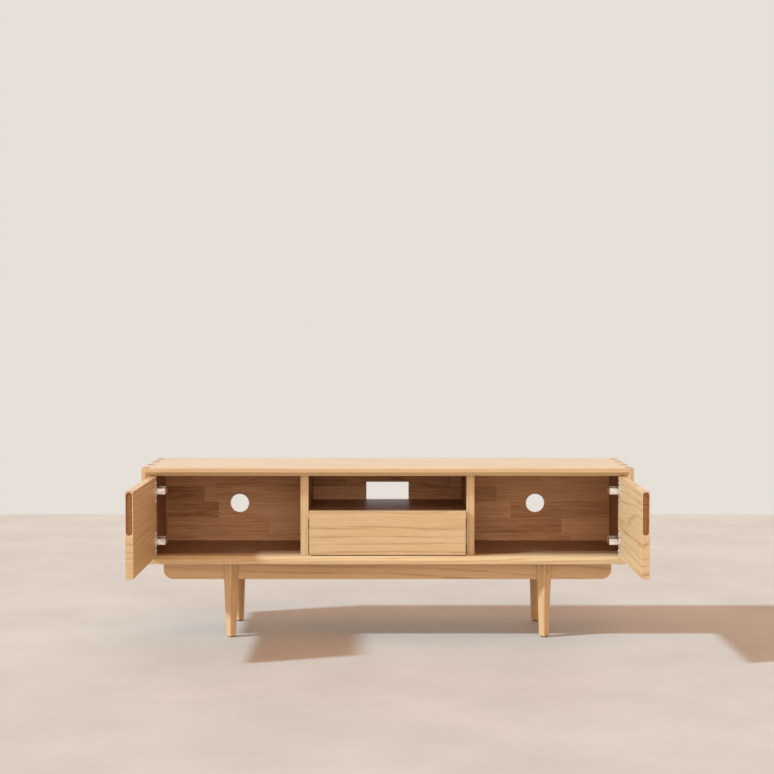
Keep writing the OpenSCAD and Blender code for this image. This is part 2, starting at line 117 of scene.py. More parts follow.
# Radius of the eased edges of each kind of piece
SHELF_EDGE = 0.35 * MM
BACK_EDGE = 0.5 * MM
DIVIDER_EDGE = 0.7 * MM
FRONT_EDGE = 0.8 * MM
BOX_EDGE = 0.8 * MM
BOX_BOTTOM_EDGE = 0.3 * MM
FRAME_EDGE = 1.2 * MM
LEG_EDGE = 0.7 * MM
PRESSED_EDGE = 0.25 * MM
FELT_EDGE = 0.6 * MM

# The shortest facets that still belong to a rounded corner of a leg and of an apron
LEG_FACET = 0.5 * MM
APRON_FACET = 1.0 * MM


# --- Small helpers ---------------------------------------------------------------------

def link(name, data):
    """Adds an object to the scene."""
    piece = bpy.data.objects.new(name, data)
    bpy.context.scene.collection.objects.link(piece)
    return piece


def settle(piece, node):
    """Makes a finished piece stand for a CAD node: it joins the node's body, and the node is
    hidden.
    """
    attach(piece, BODY_OF[node])
    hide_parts(node)
    return piece


def welded(node):
    """A bmesh of a CAD node with its corners joined and its flat areas made whole."""
    shape = bmesh.new()
    shape.from_mesh(NODES[node].data)
    bmesh.ops.remove_doubles(shape, verts=shape.verts, dist=WELD)
    bmesh.ops.dissolve_limit(
        shape, angle_limit=FLAT_ANGLE, verts=shape.verts, edges=shape.edges
    )
    return shape


def loose_parts(node):
    """The separate solids of a CAD node, each as a list of its points."""
    shape = welded(node)
    unseen = set(shape.verts)
    parts = []
    while unseen:
        queue = [unseen.pop()]
        points = []
        while queue:
            vertex = queue.pop()
            points.append(vertex.co.copy())
            for edge in vertex.link_edges:
                other = edge.other_vert(vertex)
                if other in unseen:
                    unseen.remove(other)
                    queue.append(other)
        parts.append(points)
    shape.free()
    return sorted(parts, key=rounded_middle)


def rounded_middle(points):
    """The mean of some points, rounded so that it sorts the same way every time."""
    return tuple(round(c, 5) for c in sum(points, Vector()) / len(points))


def corners(points):
    """Lowest and highest corner of some points."""
    low = Vector([min(p[i] for p in points) for i in range(3)])
    high = Vector([max(p[i] for p in points) for i in range(3)])
    return low, high


# --- Eased copies ------------------------------------------------------------------------

def on_envelope(face):
    """True for a face that lies on the outside of the closed carcass."""
    centre = face.calc_center_median()
    for axis in range(3):
        if abs(abs(face.normal[axis]) - 1) < ON_PLANE:
            low, high = CARCASS_LOW[axis], CARCASS_HIGH[axis]
            if abs(centre[axis] - low) < ON_PLANE or abs(centre[axis] - high) < ON_PLANE:
                return True
    return False


def carcass_radius(edge):
    """Outside edges are rounded, the front flare is softened, and glue lines stay fine.

    The rims of drilled holes, cut into short facets, stay sharp, because a rounded rim
    would cut across the seams of the flat face round it.
    """
    if edge.calc_length() < DRILL_FACET:
        return 0.0
    faces = edge.link_faces
    if all(on_envelope(face) for face in faces):
        return OUTER_RADIUS
    slanted = any(max(abs(c) for c in face.normal) < SQUARE_ON for face in faces)
    return INNER_RADIUS if slanted else GLUE_LINE


def board_radius(radius, shortest=4 * MM):
    """Every edge longer than a drill hole's facets gets the same radius."""
    def of_edge(edge):
        return radius if edge.calc_length() > shortest else 0.0
    return of_edge


def every_edge(radius):
    """Curved edges are rounded too, however finely they are cut into facets."""
    return lambda edge: radius


def is_sharp(edge):
    """True for an outward corner between two faces."""
    return (
        len(edge.link_faces) == 2
        and edge.is_convex
        and edge.calc_face_angle(0.0) > SHARP_ANGLE
    )


def eased_copy(node, name, radius_of, material, segments=3):
    """A copy of a CAD node with rounded edges. Its eased faces carry a mark for the wear."""
    shape = welded(node)
    weight = shape.edges.layers.float.new("bevel_weight_edge")
    for edge in shape.edges:
        if is_sharp(edge):
            edge[weight] = min(1.0, radius_of(edge) / LARGEST_RADIUS)
    for face in shape.faces:
        face.smooth = True
        face.material_index = 0
    data = bpy.data.meshes.new(name)
    shape.to_mesh(data)
    shape.free()
    rough = link(name + "_rough", data)
    data.materials.append(material)
    data.materials.append(material)
    bevel = rough.modifiers.new("ease", "BEVEL")
    bevel.limit_method = "WEIGHT"
    bevel.width = LARGEST_RADIUS
    bevel.segments = segments
    bevel.use_clamp_overlap = False
    bevel.material = 1
    normals = rough.modifiers.new("normals", "WEIGHTED_NORMAL")
    normals.keep_sharp = True
    for edge in data.edges:
        edge.use_edge_sharp = False
    depsgraph = bpy.context.evaluated_depsgraph_get()
    finished = bpy.data.meshes.new_from_object(rough.evaluated_get(depsgraph))
    bpy.data.objects.remove(rough)
    mark = finished.attributes.new(EASED, "FLOAT", "FACE")
    for polygon in finished.polygons:
        mark.data[polygon.index].value = float(polygon.material_index == 1)
        polygon.material_index = 0
    finished.materials.clear()
    finished.materials.append(material)
    finished.name = name
    return settle(link(name, finished), node)


# --- Screws --------------------------------------------------------------------------------

SPOKES = 24
QUARTER = SPOKES // 4
SHARP_METAL = math.radians(30)

# A screw's outline, as shares of its CAD solid's shank radius, head radius and head height
TIP_RADIUS = 0.2
TIP_LENGTH = 1.6
CORE_RADIUS = 0.85
HEAD_CURVE = ((0.0, 1.0), (0.40, 1.0), (0.72, 0.93), (0.92, 0.80), (1.0, 0.62))
CROSS_REACH = 0.52
CROSS_DEPTH = 0.6
CROSS_FLOOR = 0.75


def cross_radius(spoke, length):
    """Outline of a cross recess: its radius in the direction of one of 24 spokes."""
    turn = spoke % QUARTER
    turn = min(turn, QUARTER - turn)
    angle = math.radians(360 / SPOKES * turn)
    half_width = length * math.tan(math.radians(360 / SPOKES))
    if turn <= 1:
        return length / math.cos(angle)
    return half_width / math.sin(angle)


def screw_axis(points):
    """A screw solid's tip, direction, neck height, length, shank radius and head radius."""
    low, high = corners(points)
    size = high - low
    axis = max(range(3), key=lambda i: size[i])
    middle = (low + high) / 2

    def reach(height):
        ring = [p for p in points if abs(p[axis] - height) < ON_PLANE]
        return max(max(abs((p - middle)[i]) for i in range(3) if i != axis) for p in ring)

    heights = sorted({round(p[axis], 6) for p in points})
    head_up = reach(high[axis]) > reach(low[axis])
    if not head_up:
        heights.reverse()
    direction = Vector([0, 0, 0])
    direction[axis] = 1 if head_up else -1
    tip = middle.copy()
    tip[axis] = heights[0]
    head_r = reach(heights[-1])
    shank_r = reach(heights[0])
    wide = [h for h in heights if reach(h) > (head_r + shank_r) / 2]
    neck = abs(wide[0] - heights[0])
    length = abs(heights[-1] - heights[0])
    return tip, direction, neck, length, shank_r, head_r


def add_screw(shape, points):
    """One pan-head screw with a cross recess, in the place of its CAD solid."""
    tip, direction, neck, length, shank_r, head_r = screw_axis(points)
    head = length - neck
    cross = CROSS_REACH * head_r
    core = CORE_RADIUS * shank_r
    turn = direction.to_track_quat("Z", "Y").to_matrix()
    plain = [(0.0, TIP_RADIUS * shank_r), (TIP_LENGTH * shank_r, core), (neck, core)]
    plain += [(neck + up * head, out * head_r) for up, out in HEAD_CURVE]
    rings = [[radius] * SPOKES for _, radius in plain]
    heights = [height for height, _ in plain]
    for height, size in ((length, cross), (length - CROSS_DEPTH * head, CROSS_FLOOR * cross)):
        rings.append([cross_radius(spoke, size) for spoke in range(SPOKES)])
        heights.append(height)
    rows = []
    for height, radii in zip(heights, rings):
        row = []
        for spoke, radius in enumerate(radii):
            angle = 2 * math.pi * spoke / SPOKES
            local = Vector((radius * math.cos(angle), radius * math.sin(angle), height))
            row.append(shape.verts.new(tip + turn @ local))
        rows.append(row)
    for lower, upper in zip(rows, rows[1:]):
        for spoke in range(SPOKES):
            after = (spoke + 1) % SPOKES
            shape.faces.new((lower[spoke], lower[after], upper[after], upper[spoke]))
    shape.faces.new(list(reversed(rows[0])))
    shape.faces.new(rows[-1])


def screws_for(node, material):
    """Cross-recess screws in place of every solid of a screw node."""
    shape = bmesh.new()
    for points in loose_parts(node):
        add_screw(shape, points)
    for face in shape.faces:
        face.smooth = True
    data = bpy.data.meshes.new("cross_" + node)
    shape.to_mesh(data)
    shape.free()
    data.set_sharp_from_angle(angle=SHARP_METAL)
    data.materials.append(material)
    settle(link("cross_" + node, data), node)


# --- Material graphs ---------------------------------------------------------------------

class Graph:
    """A material or world under construction: each call adds one node and returns its output."""

    def __init__(self, owner, shader="Principled BSDF"):
        owner.use_nodes = True
        self.owner = owner
        self.tree = owner.node_tree
        self.shader = self.tree.nodes[shader]

    def add(self, kind, inputs=(), output=0, **settings):
        node = self.tree.nodes.new("ShaderNode" + kind)
        for key, value in settings.items():
            setattr(node, key, value)
        for socket, value in dict(inputs).items():
            self.put(node.inputs[socket], value)
        return node.outputs[output]

    def put(self, socket, value):
        """Links a node's output to a socket, or sets the socket's own value."""
        if isinstance(value, bpy.types.NodeSocket):
            self.tree.links.new(value, socket)
        else:
            socket.default_value = value

    def math(self, operation, a, b=0.0, clamp=False):
        return self.add("Math", {0: a, 1: b}, operation=operation, use_clamp=clamp)

    def remap(self, value, low, high, new_low=0.0, new_high=1.0):
        """Smoothly takes low..high to new_low..new_high."""
        return self.add(
            "MapRange",
            {"Value": value, 1: low, 2: high, 3: new_low, 4: new_high},
            interpolation_type="SMOOTHSTEP",
        )

    def noise(self, vector, scale, detail=3.0, roughness=0.55):
        return self.add(
            "TexNoise",
            {"Vector": vector, "Scale": scale, "Detail": detail, "Roughness": roughness},
        )

    def cells(self, place, jitter):
        """Cells about 1 long on a line: their centre and a random number of each."""
        node = self.add("TexVoronoi", {"W": place, "Scale": 1.0, "Randomness": jitter},
                        voronoi_dimensions="1D").node
        return node.outputs["W"], node.outputs["Color"]

    def stretched(self, vector, factors):
        return self.add("VectorMath", {0: vector, 1: factors}, operation="MULTIPLY")

    def split(self, vector):
        """The three numbers of a vector."""
        node = self.add("SeparateXYZ", {0: vector}).node
        return node.outputs[0], node.outputs[1], node.outputs[2]

    def joined(self, x, y, z):
        return self.add("CombineXYZ", {0: x, 1: y, 2: z})

    def mix(self, factor, a, b, blend="MIX"):
        node = self.tree.nodes.new("ShaderNodeMix")
        node.data_type = "RGBA"
        node.blend_type = blend
        self.put(node.inputs["Factor"], factor)
        self.put(node.inputs[6], a)
        self.put(node.inputs[7], b)
        return node.outputs[2]

    def tinted(self, colour, tint):
        return self.mix(1.0, colour, (*tint, 1.0), blend="MULTIPLY")

    def ramp(self, value, stops):
        node = self.tree.nodes.new("ShaderNodeValToRGB")
        elements = node.color_ramp.elements
        while len(elements) < len(stops):
            elements.new(0.5)
        for element, (place, colour) in zip(elements, stops):
            element.position = place
            element.color = (*colour, 1.0)
        self.put(node.inputs[0], value)
        return node.outputs[0]

    def object_mm(self):
        """The point on the object at rest, in millimetres."""
        place = self.add("TexCoord", output="Object")
        return self.stretched(place, (1 / MM,) * 3)

    def bump(self, height, depth):
        normal = self.add("Bump", {"Height": height, "Strength": 1.0, "Distance": depth})
        self.put(self.shader.inputs["Normal"], normal)


# --- Oak -----------------------------------------------------------------------------------

# Each wood is three tones: the pale early wood, the middle one and the dark late wood.
LIGHT_OAK = [(0.700, 0.530, 0.310), (0.575, 0.385, 0.190), (0.340, 0.180, 0.070)]
# The aprons', rails' and legs' tones are partly their oak and partly painted shade, deeper and
# more orange, for the shade under the carcass.
BASE_OAK_AND_SHADE = [(0.680, 0.470, 0.250), (0.560, 0.350, 0.170), (0.350, 0.185, 0.080)]
# The back's tones are partly its oak and partly painted shade, deepened and reddened for its dim
# front.
BACK_OAK_AND_SHADE = [(0.860, 0.510, 0.265), (0.620, 0.320, 0.150), (0.260, 0.105, 0.040)]
BOX_OAK = [(0.770, 0.600, 0.410), (0.690, 0.515, 0.330), (0.560, 0.390, 0.230)]

# A chosen look, not a known finish: painted shade, darker and redder, on the wood within the
# carcass, as a dim room shows it. It stays that dark under any other light. Millimetres.
INSIDE_SHADE_TINT = (0.52, 0.36, 0.33)
INSIDE_SHADE_FADE = (6.0, 45.0)
INSIDE_SLACK = 0.1
# The walls of the finger pulls get painted shade in the same way: they are painted darker, as deep
# shade in the recesses shows them.
PULL_SHADE_TINT = (0.70, 0.50, 0.42)
PULL_DEPTH = 20.0
PULL_RIM = 1.6
PULL_SHADE_FADE = (0.8, 4.0)
# The back's staves carry painted shade, deeper and redder, for their dim front, so the rear face
# is toned back from it.
REAR_TINT = (0.72, 0.86, 1.0)
REAR_FADE = (0.3, 0.7)

# Growth rings, in millimetres, and where in each ring the late wood lies
RING_PERIOD = 13.0
PITH_NEAREST = 25.0
PITH_SPREAD = 60.0
PITH_SIDEWAYS = 1.2
PITH_SLOPE = 0.05
SLOW_WANDER = 30.0
QUICK_WANDER = 7.0
LATE_RISE = (0.62, 0.93)
LATE_END = (0.94, 1.0)
RING_FADE = (0.30, 0.62)
FAINTEST_RING = 0.40

# How fine each pattern is per millimetre: along the grain, across it and through it
SLOW_GRAIN = (0.0016, 0.012, 0.012)
QUICK_GRAIN = (0.005, 0.06, 0.06)
STREAK_GRAIN = (0.004, 0.22, 0.22)
FIBRE_GRAIN = (0.018, 0.9, 0.9)
PORE_GRAIN = (0.10, 2.4, 2.4)
CLOUD_GRAIN = (0.002, 0.02, 0.02)
PORE_EDGE = (0.58, 0.68)
PORE_RINGS = (0.35, 0.95)
FEWEST_PORES = 0.25

# What each pattern adds to the darkness of the wood, from 0 to 1
MEAN_DARKNESS = 0.27
STREAK_SHARE = 0.55
FIBRE_SHARE = 0.7
CLOUD_SHARE = 0.22
PORE_SHARE = 0.40
WORN_SHARE = 0.30
END_GRAIN_FACING = (0.6, 0.85)

# Surface of the oiled wood
OIL_IOR = 1.45
OIL_ROUGHNESS = (0.36, 0.48)
PORE_ROUGHNESS = 0.15
WORN_SMOOTHNESS = 0.06
FIBRE_RELIEF = 0.6
RING_RELIEF = 0.3
WOOD_RELIEF = 0.06 * MM

# Staves this long, in millimetres, run the whole length of any board
WHOLE_LENGTH = 3000.0
# How far the pattern may shift from one stave to the next, and the butt joints between rows
STAVE_SHIFT = 900.0
ROW_SHIFT = 17.0


def inside_shade_share(graph, xyz):
    """Where painted shade is laid: 0 outside the carcass, rising to 1 a little way in behind the
    opening's mouth.
    """
    low, high = INSIDE
    mouth = low.y / MM
    share = graph.remap(xyz["y"], mouth + INSIDE_SHADE_FADE[0], mouth + INSIDE_SHADE_FADE[1])
    for letter, least, most in (("x", low.x, high.x), ("z", low.z, high.z)):
        middle = (least + most) / 2
        away = graph.math("ABSOLUTE", graph.math("SUBTRACT", xyz[letter], middle / MM))
        within = graph.math("LESS_THAN", away, (most - least) / 2 / MM + INSIDE_SLACK)
        share = graph.math("MULTIPLY", share, within)
    return share


def pull_shade_share(graph, xyz):
    """Where painted shade is laid: 1 on the walls of the doors' finger pulls, deeper than the
    eased rim, else 0.
    """
    low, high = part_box("door_left")
    depth = graph.math("SUBTRACT", xyz["y"], low.y / MM)
    middle = -(low.x + high.x) / 2 / MM
    away = graph.math("ABSOLUTE", graph.math("SUBTRACT", graph.math("ABSOLUTE", xyz["x"]), middle))
    within = graph.math("LESS_THAN", away, (high.x - low.x) / 2 / MM - PULL_RIM)
    near = graph.math("LESS_THAN", depth, PULL_DEPTH)
    share = graph.math("MULTIPLY", graph.remap(depth, *PULL_SHADE_FADE), within)
    return graph.math("MULTIPLY", share, near)


def oak(name, tones, axes, width, length=WHOLE_LENGTH, jitter=(0.2, 0.0), tone_spread=0.12,
        figure=1.0, rings=0.40, end_dark=0.34, thick=1.0, satin=0.0, shine=0.5,
        inside=False, pull=False, rear_tint=None, seed=0.0):
    """Oiled oak, solid through: rings, fibres and pores, in staves.

    axes names the directions along the grain, across the stave's width and through it.
    width and length are a stave's mean size in millimetres.
    jitter is how unequal the staves' widths and lengths are. rings is the weight of the
    ring lines and figure that of the streaks and fibres. A low thick carries the lines
    of the face straight through the board. satin makes the surface smoother, shine is its
    gloss, inside paints shade, darker and redder, on what lies within the carcass, pull
    paints shade on the walls of the finger pulls, and rear_tint tones painted shade back
    out of the faces that look backwards.
    """
    graph = Graph(bpy.data.materials.new(name))
    place = graph.object_mm()
    xyz = dict(zip("xyz", graph.split(place)))
    along, across, through = (xyz[letter] for letter in axes)

    # Which stave a point is in, and three random numbers of that stave
    row_place = graph.math("ADD", graph.math("DIVIDE", across, width), seed + 0.5)
    row, row_colour = graph.cells(row_place, jitter[0])
    row_shift = graph.math("MULTIPLY", graph.split(row_colour)[0], ROW_SHIFT)
    column_place = graph.math("ADD", graph.math("DIVIDE", along, length), row_shift)
    column, _ = graph.cells(column_place, jitter[1])
    stave_id = graph.joined(row, column, seed)
    randoms = graph.add("TexWhiteNoise", {"Vector": stave_id}, output=1, noise_dimensions="3D")
    tone_random, side_random, depth_random = graph.split(randoms)
    stave_shift = graph.stretched(randoms, (STAVE_SHIFT,) * 3)
    grain_place = graph.joined(along, across, graph.math("MULTIPLY", through, thick))
    grain_place = graph.add("VectorMath", {0: grain_place, 1: stave_shift}, operation="ADD")

    # Growth rings round a pith that lies behind each stave, at its own distance and slope
    middle = graph.math("SUBTRACT", row_place, row)
    offset = graph.math("MULTIPLY", graph.math("SUBTRACT", side_random, 0.5), PITH_SIDEWAYS)
    sideways = graph.math("MULTIPLY", graph.math("ADD", middle, offset), width)
    pith_depth = graph.math("ADD", graph.math("MULTIPLY", depth_random, PITH_SPREAD), PITH_NEAREST)
    inwards = graph.math("ADD", graph.math("MULTIPLY", through, thick), pith_depth)
    radius = graph.add("VectorMath", {0: graph.joined(sideways, inwards, 0.0)}, output=1,
                       operation="LENGTH")
    slope = graph.math("MULTIPLY", graph.math("SUBTRACT", tone_random, 0.5), PITH_SLOPE)
    slow = graph.noise(graph.stretched(grain_place, SLOW_GRAIN), 1.0, detail=1.0)
    quick = graph.noise(graph.stretched(grain_place, QUICK_GRAIN), 1.0, detail=2.0)
    radius = graph.math("ADD", radius, graph.math("MULTIPLY", along, slope))
    radius = graph.math("ADD", radius, graph.math("MULTIPLY", slow, SLOW_WANDER))
    radius = graph.math("ADD", radius, graph.math("MULTIPLY", quick, QUICK_WANDER))
    ring = graph.math("FRACT", graph.math("DIVIDE", radius, RING_PERIOD))
    late = graph.remap(ring, *LATE_RISE)
    ending = graph.remap(ring, *LATE_END, 1.0, 0.0)
    ring_strength = graph.remap(quick, *RING_FADE, FAINTEST_RING, 1.0)
    ring_line = graph.math("MULTIPLY", graph.math("MULTIPLY", late, ending), ring_strength)

    # Streaks, fibres, pores and slow drifts of tone, all drawn out along the grain
    streaks = graph.noise(graph.stretched(grain_place, STREAK_GRAIN), 1.0, detail=3.0,
                          roughness=0.7)
    fibres = graph.noise(graph.stretched(grain_place, FIBRE_GRAIN), 1.0, detail=4.0,
                         roughness=0.6)
    pores = graph.noise(graph.stretched(grain_place, PORE_GRAIN), 1.0, detail=1.0)
    pores = graph.math("MULTIPLY", graph.remap(pores, *PORE_EDGE),
                       graph.remap(ring, *PORE_RINGS, FEWEST_PORES, 1.0))
    clouds = graph.noise(graph.stretched(grain_place, CLOUD_GRAIN), 1.0, detail=1.0)

    # Darkness from 0, palest, to 1
    darkness = graph.math("MULTIPLY", ring_line, rings)
    for value, share in ((streaks, STREAK_SHARE * figure), (fibres, FIBRE_SHARE * figure),
                         (clouds, CLOUD_SHARE), (tone_random, tone_spread)):
        change = graph.math("MULTIPLY", graph.math("SUBTRACT", value, 0.5), share)
        darkness = graph.math("ADD", darkness, change)
    darkness = graph.math("ADD", darkness, MEAN_DARKNESS)

    # End grain drinks more oil, and so it is darker
    normal = graph.split(graph.add("TexCoord", output="Normal"))
    facing = dict(zip("xyz", normal))[axes[0]]
    end_grain = graph.remap(graph.math("ABSOLUTE", facing), *END_GRAIN_FACING)
    darkness = graph.math("ADD", darkness, graph.math("MULTIPLY", end_grain, end_dark), clamp=True)

    light, middle_tone, dark = tones
    colour = graph.ramp(darkness, [(0.0, light), (0.5, middle_tone), (1.0, dark)])
    colour = graph.mix(graph.math("MULTIPLY", pores, PORE_SHARE), colour, (*dark, 1.0))
    worn = graph.add("Attribute", attribute_name=EASED, output="Fac")
    colour = graph.mix(graph.math("MULTIPLY", worn, WORN_SHARE), colour, (*light, 1.0))
    # Painted shade: the wood within the carcass is made darker and redder.
    if inside:
        colour = graph.mix(inside_shade_share(graph, xyz), colour, graph.tinted(colour, INSIDE_SHADE_TINT))
    # Tones painted shade back out of the faces that look backwards.
    if rear_tint:
        backwards = graph.remap(normal[1], *REAR_FADE)
        colour = graph.mix(backwards, colour, graph.tinted(colour, rear_tint))
    # Painted shade on the walls of the doors' finger pulls.
    if pull:
        colour = graph.mix(pull_shade_share(graph, xyz), colour, graph.tinted(colour, PULL_SHADE_TINT))
    graph.put(graph.shader.inputs["Base Color"], colour)

    smoothest, roughest = OIL_ROUGHNESS
    roughness = graph.remap(fibres, *NOISE_SPAN, smoothest - satin, roughest - satin)
    roughness = graph.math("ADD", roughness, graph.math("MULTIPLY", pores, PORE_ROUGHNESS))
    roughness = graph.math("SUBTRACT", roughness, graph.math("MULTIPLY", worn, WORN_SMOOTHNESS))
    graph.put(graph.shader.inputs["Roughness"], roughness)
    graph.shader.inputs["IOR"].default_value = OIL_IOR
    graph.shader.inputs["Specular IOR Level"].default_value = shine
    height = graph.math("SUBTRACT", graph.math("MULTIPLY", fibres, FIBRE_RELIEF), pores)
    height = graph.math("SUBTRACT", height, graph.math("MULTIPLY", ring_line, RING_RELIEF))
    graph.bump(height, WOOD_RELIEF)
    return graph.owner


# --- Metals, felt ---------------------------------------------------------------------------

# Drawing marks are this fine per millimetre, along the drawing and across it
DRAWN = (0.05, 3.0)
SMUDGES = 0.08
SMUDGE_EDGE = (0.45, 0.7)
SMUDGED_SHADE = 0.90
SMUDGED_ROUGHNESS = 0.10
DRAWN_ROUGHNESS = 0.12
DRAWN_RELIEF = 0.012 * MM
WORN_METAL = (0.95, 0.94, 0.92, 1.0)
WORN_METAL_SHARE = 0.4


def metal(name, colour, roughness, brushed_along="z"):
    """Plated pressed steel with fine drawing marks and faint smudges."""
    graph = Graph(bpy.data.materials.new(name))
    place = graph.object_mm()
    stretch = tuple(DRAWN[0] if axis == brushed_along else DRAWN[1] for axis in "xyz")
    marks = graph.noise(graph.stretched(place, stretch), 1.0, detail=3.0)
    smudges = graph.noise(place, SMUDGES, detail=3.0)
    shade = graph.remap(smudges, *NOISE_SPAN, SMUDGED_SHADE, 1.0)
    tint = graph.mix(1.0, (*colour, 1.0), graph.joined(shade, shade, shade), blend="MULTIPLY")
    worn = graph.add("Attribute", attribute_name=EASED, output="Fac")
    tint = graph.mix(graph.math("MULTIPLY", worn, WORN_METAL_SHARE), tint, WORN_METAL)
    graph.put(graph.shader.inputs["Base Color"], tint)
    brushed = graph.math("MULTIPLY", marks, DRAWN_ROUGHNESS)
    rough = graph.math("ADD", brushed, roughness - DRAWN_ROUGHNESS / 2)
    rough = graph.math("ADD", rough, graph.remap(smudges, *SMUDGE_EDGE, 0.0, SMUDGED_ROUGHNESS))
    graph.put(graph.shader.inputs["Roughness"], rough)
    graph.shader.inputs["Metallic"].default_value = 1.0
    graph.bump(marks, DRAWN_RELIEF)
    return graph.owner


# Fibres and paler flecks, per millimetre
FUZZ = 2.2
FLECKS = 0.6
FLECK_EDGE = (0.18, 0.40)
FLECK_PALER = 2.4
FELT_ROUGHNESS = 0.95
FELT_SHEEN = 0.35
FELT_SHEEN_ROUGHNESS = 0.5
FELT_RELIEF = 0.25 * MM


def felt(name, colour):
    """Pressed felt: a dark fuzzy mat of fibres."""
    graph = Graph(bpy.data.materials.new(name))
    place = graph.object_mm()
    fuzz = graph.noise(place, FUZZ, detail=6.0, roughness=0.7)
    flecks = graph.noise(place, FLECKS, detail=2.0)
    paler = tuple(min(1.0, FLECK_PALER * c) for c in colour)
    graph.put(
        graph.shader.inputs["Base Color"],
        graph.mix(graph.remap(graph.math("MULTIPLY", fuzz, flecks), *FLECK_EDGE),
                  (*colour, 1.0), (*paler, 1.0)),
    )
    graph.shader.inputs["Roughness"].default_value = FELT_ROUGHNESS
    graph.shader.inputs["Sheen Weight"].default_value = FELT_SHEEN
    graph.shader.inputs["Sheen Roughness"].default_value = FELT_SHEEN_ROUGHNESS
    graph.bump(fuzz, FELT_RELIEF)
    return graph.owner


nickel = metal("nickel_plate", (0.90, 0.885, 0.86), 0.30, "y")
zinc = metal("zinc_plate", (0.70, 0.71, 0.73), 0.36, "y")
zinc_bright = metal("zinc_screw_plate", (0.74, 0.74, 0.75), 0.28, "z")
pad_felt = felt("pad_felt", (0.045, 0.040, 0.036))

# Materials given inside=True carry painted shade, darker and redder, within the carcass.
top_oak = oak("oak_top", LIGHT_OAK, "xyz", width=67.0, seed=3.0, end_dark=0.5,
              satin=0.10, figure=0.8, rings=0.24, inside=True)
bottom_oak = oak("oak_bottom", LIGHT_OAK, "xyz", width=67.0, seed=11.0, end_dark=0.5,
                 shine=0.30, inside=True)
side_oak = oak("oak_sides", LIGHT_OAK, "zyx", width=67.0, seed=5.0, end_dark=0.5,
               figure=0.8, rings=0.20, inside=True)
divider_oak = oak("oak_dividers", LIGHT_OAK, "zyx", width=60.0, seed=23.0, shine=0.30,
                  inside=True)
shelf_oak = oak("oak_shelf", LIGHT_OAK, "xyz", width=60.0, seed=7.0, shine=0.15,
                inside=True)
shelf_end_oak = oak("oak_shelf_ends", LIGHT_OAK, "yxz", width=50.0, seed=9.0, end_dark=0.1,
                    shine=0.15, inside=True)
back_oak = oak("oak_back_staves", BACK_OAK_AND_SHADE, "xzy", width=52.0, length=330.0, jitter=(0.6, 0.7),
               tone_spread=0.60, shine=0.10, figure=2.4, rings=0.15,
               rear_tint=REAR_TINT, seed=2.0)
door_oak = oak("oak_doors", LIGHT_OAK, "yzx", width=121.0, seed=4.0, figure=1.5,
               end_dark=0.0, thick=0.12, pull=True)
drawer_front_oak = oak("oak_drawer_front", LIGHT_OAK, "xzy", width=134.0, seed=6.0,
                       figure=1.2)
apron_oak = oak("oak_aprons", BASE_OAK_AND_SHADE, "xzy", width=120.0, seed=8.0)
rail_oak = oak("oak_rails", BASE_OAK_AND_SHADE, "yzx", width=120.0, seed=13.0)
leg_oak = oak("oak_legs", BASE_OAK_AND_SHADE, "zxy", width=120.0, seed=15.0)
drawer_side_oak = oak("oak_drawer_sides", BOX_OAK, "yzx", width=85.0, seed=17.0, figure=0.7)
drawer_back_oak = oak("oak_drawer_back", BOX_OAK, "xzy", width=85.0, seed=19.0, figure=0.7)
drawer_bottom_oak = oak("oak_drawer_bottom", BOX_OAK, "xyz", width=110.0, seed=21.0,
                        figure=0.7)
dowel_beech = oak("beech_dowels", BOX_OAK, "zxy", width=20.0, seed=1.0, figure=0.4)


# --- Wooden pieces ---------------------------------------------------------------------------

SIDES = ("left", "right")
ROWS = ("front", "back")

eased_copy("top_panel", "oak_top_panel", carcass_radius, top_oak)
eased_copy("bottom_panel", "oak_bottom_panel", carcass_radius, bottom_oak)
eased_copy("back_panel", "oak_back_panel", every_edge(BACK_EDGE), back_oak, segments=2)
eased_copy("shelf_board", "oak_shelf_board", board_radius(SHELF_EDGE), shelf_oak)
for side in SIDES:
    eased_copy(f"side_panel_{side}", f"oak_side_panel_{side}", carcass_radius,
               side_oak)
    eased_copy(f"divider_{side}", f"oak_divider_{side}", board_radius(DIVIDER_EDGE),
               divider_oak)
    eased_copy(f"shelf_end_{side}", f"oak_shelf_end_{side}", board_radius(SHELF_EDGE),
               shelf_end_oak)
    eased_copy(f"door_{side}", f"oak_door_{side}", every_edge(FRONT_EDGE), door_oak)
    eased_copy(f"cross_rail_{side}", f"oak_cross_rail_{side}", board_radius(FRAME_EDGE),
               rail_oak)
    eased_copy(f"drawer_side_{side}", f"oak_drawer_side_{side}", board_radius(BOX_EDGE),
               drawer_side_oak)
    for row in ROWS:
        eased_copy(f"leg_{row}_{side}", f"oak_leg_{row}_{side}", board_radius(LEG_EDGE, LEG_FACET),
                   leg_oak)
for row in ROWS:
    eased_copy(f"{row}_apron", f"oak_{row}_apron", board_radius(FRAME_EDGE, APRON_FACET),
               apron_oak)
eased_copy("drawer_front", "oak_drawer_front_board", board_radius(FRONT_EDGE),
           drawer_front_oak)
eased_copy("drawer_back", "oak_drawer_back_board", board_radius(BOX_EDGE),
           drawer_back_oak)
eased_copy("drawer_bottom", "oak_drawer_bottom_board", board_radius(BOX_BOTTOM_EDGE),
           drawer_bottom_oak)


# --- Carried-over nodes ------------------------------------------------------------------------

def finish_node(node, material):
    """Gives a CAD node that stays its real finish."""
    data = NODES[node].data
    data.materials.clear()
    data.materials.append(material)


for node in ("divider_dowels", "shelf_dowels", "drawer_front_dowels"):
    finish_node(node, dowel_beech)


# --- Metalwork and glides ------------------------------------------------------------------------

